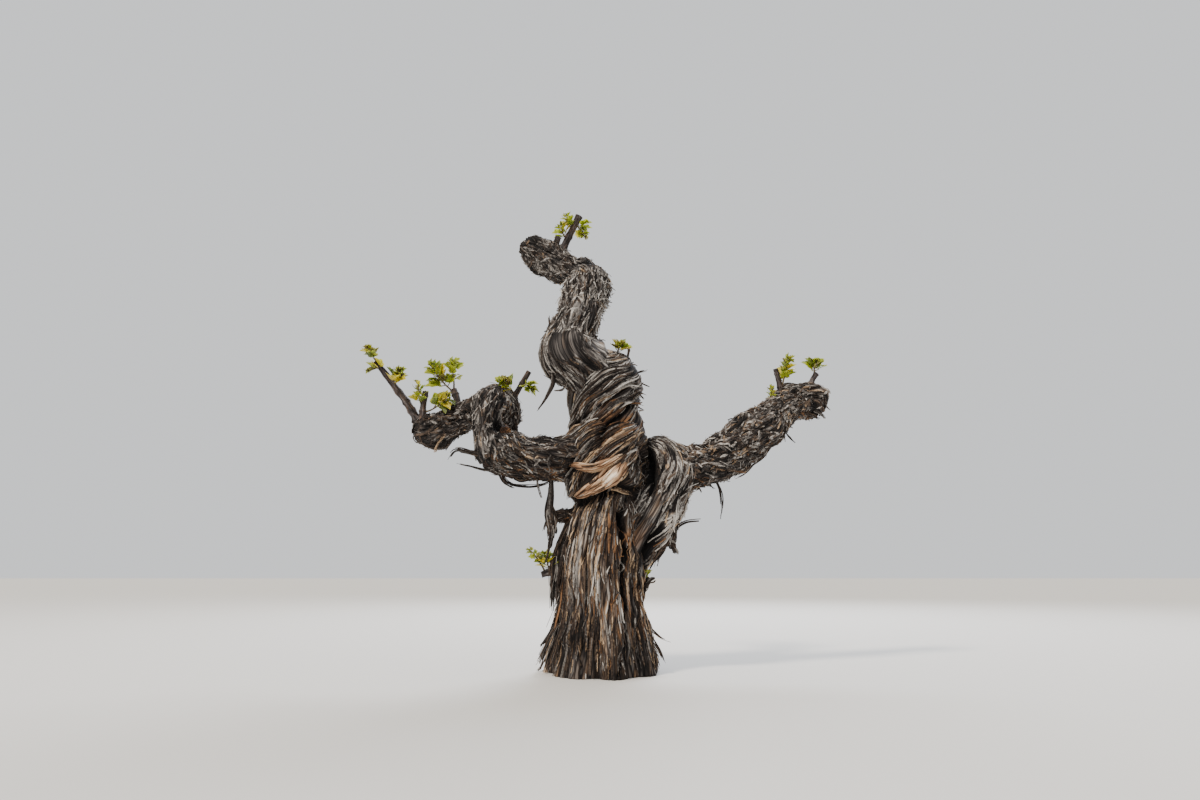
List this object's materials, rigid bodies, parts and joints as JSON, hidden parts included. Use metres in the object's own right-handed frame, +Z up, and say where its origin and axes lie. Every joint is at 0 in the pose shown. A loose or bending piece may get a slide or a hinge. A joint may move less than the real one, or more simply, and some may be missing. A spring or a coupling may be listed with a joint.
{
  "type": "old bush-trained grapevine",
  "caption": "Gnarled free-standing old grapevine with a stout twisted trunk, crooked arms pruned to short spurs, shaggy loose bark and young spring shoots.",
  "frame": {"origin": "the middle of the flat cut under the trunk, at ground level, straight below the waist of the trunk", "axes": "+Z up; -Y towards the viewer of the picture; +X to the viewer's right, along the right arm"},
  "size_m": [0.8543, 0.2151, 0.8094],
  "materials": {
    "trunk_bark": "rough, stringy silver-grey to dark brown bark in long strips, fresh tan where it has split",
    "arm_bark": "rough grey-brown bark in short shaggy flakes, near black in the furrows",
    "bare_wood": "matt orange-tan bare wood with a fine grain",
    "cane": "dark grey-brown last year's wood, lightly ribbed",
    "loose_bark": "dry dark strips of loose bark",
    "leaf": "soft young leaves, yellow-green, bronze at the youngest tips"
  },
  "bodies": {
    "root": {"trunk": "trunk_bark", "right_stem": "trunk_bark", "column_lower": "trunk_bark", "column_middle": "arm_bark", "column_top": "arm_bark", "left_arm": "arm_bark", "left_rise": "arm_bark", "left_knob": "arm_bark", "far_left_arm": "arm_bark", "right_arm": "arm_bark", "wood_lip": "bare_wood", "wood_fold": "bare_wood", "top_spur": "cane", "top_stub": "cane", "knuckle_twig": "cane", "long_cane": "cane", "short_spur": "cane", "back_spur": "cane", "knob_spur": "cane", "near_spur": "cane", "tip_spur": "cane", "left_dead_stub": "cane", "left_sucker_stub": "cane", "right_sucker_stub": "cane", "strip_strap": "loose_bark", "strip_column": "loose_bark", "strip_left_end": "loose_bark", "strip_left_under": "loose_bark", "strip_right_hang": "loose_bark", "strip_tendril": "loose_bark", "strip_trunk_left": "loose_bark", "shoot_top_left": "leaf", "shoot_top_high": "leaf", "shoot_top_right": "leaf", "shoot_knuckle": "leaf", "shoot_cane_tip": "leaf", "shoot_cane_left": "leaf", "shoot_cane_right": "leaf", "shoot_short_left": "leaf", "shoot_short_right": "leaf", "shoot_back_left": "leaf", "shoot_back_right": "leaf", "shoot_knob_left": "leaf", "shoot_knob_right": "leaf", "shoot_near_high": "leaf", "shoot_near_low": "leaf", "shoot_tip": "leaf", "shoot_left_sucker": "leaf", "shoot_right_sucker": "leaf"}
  },
  "joints": []
}
